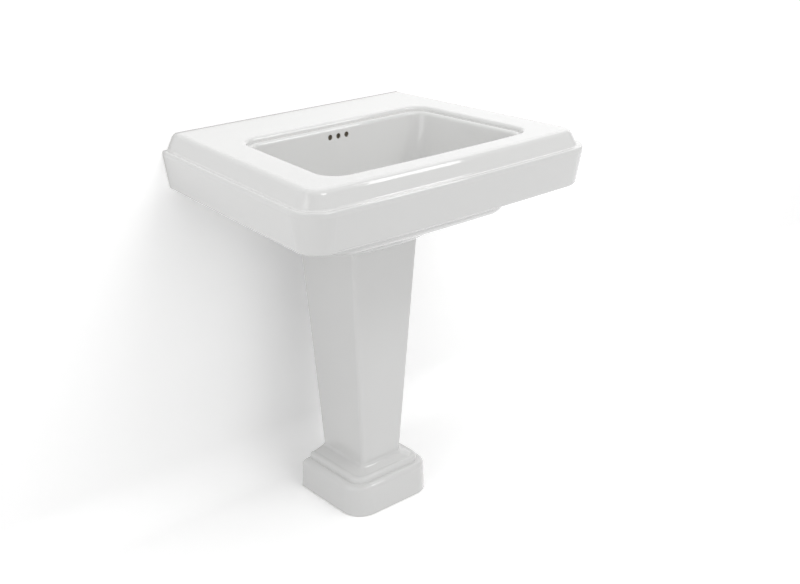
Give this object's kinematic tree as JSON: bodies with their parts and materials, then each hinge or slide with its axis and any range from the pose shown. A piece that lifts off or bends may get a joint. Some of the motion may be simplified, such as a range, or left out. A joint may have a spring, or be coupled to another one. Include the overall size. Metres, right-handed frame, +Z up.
{
  "type": "pedestal basin",
  "caption": "Glazed china wash basin hung on a wall above a tapered square column, with a push plug waste and a trap hidden in the column.",
  "frame": {"origin": "on the floor, straight below the centre of the waste", "axes": "+X to the right of someone at the basin, +Y towards the wall, +Z up"},
  "size_m": [0.761, 0.568, 0.87],
  "materials": {
    "vitreous_china": "gloss white glaze",
    "chromed_brass": "polished chrome plate",
    "chromed_nut": "satin chrome plate",
    "plain_brass": "machined brass",
    "spring_steel": "drawn wire",
    "screw_steel": "zinc plate",
    "black_rubber": "moulded rubber",
    "clear_seal_rubber": "pale soft seal",
    "fibre_washer": "pressed red fibre",
    "white_plastic": "moulded nylon"
  },
  "bodies": {
    "fixture": {"basin_deck": "vitreous_china", "basin_apron": "vitreous_china", "basin_bowl": "vitreous_china", "basin_collar": "vitreous_china", "pedestal_column": "vitreous_china", "pedestal_foot": "vitreous_china", "seat_pads": "black_rubber", "waste_body": "chromed_brass", "waste_top_seal": "clear_seal_rubber", "waste_bottom_washer": "black_rubber", "waste_slip_washer": "fibre_washer", "waste_locknut": "plain_brass", "cartridge_body": "white_plastic", "cartridge_cap": "white_plastic", "click_spring": "spring_steel", "tailpiece": "chromed_brass", "trap_inlet_nut": "chromed_nut", "trap_inlet_washer": "black_rubber", "trap_j_bend": "chromed_brass", "trap_outlet_nut": "chromed_nut", "trap_outlet_washer": "black_rubber", "trap_arm": "chromed_brass", "cleanout_plug": "chromed_nut", "cleanout_washer": "black_rubber", "wall_sleeves": "white_plastic", "floor_screws": "screw_steel", "floor_screw_washers": "white_plastic"},
    "plug": {"plug_cap": "chromed_brass", "plug_seal": "black_rubber", "plug_stem": "plain_brass"}
  },
  "joints": [
    {"name": "plug_slide", "type": "slide", "parent": "fixture", "child": "plug", "axis": [0, 0, 1], "range_m": [0, 0.009], "deforming": ["click_spring"]}
  ]
}
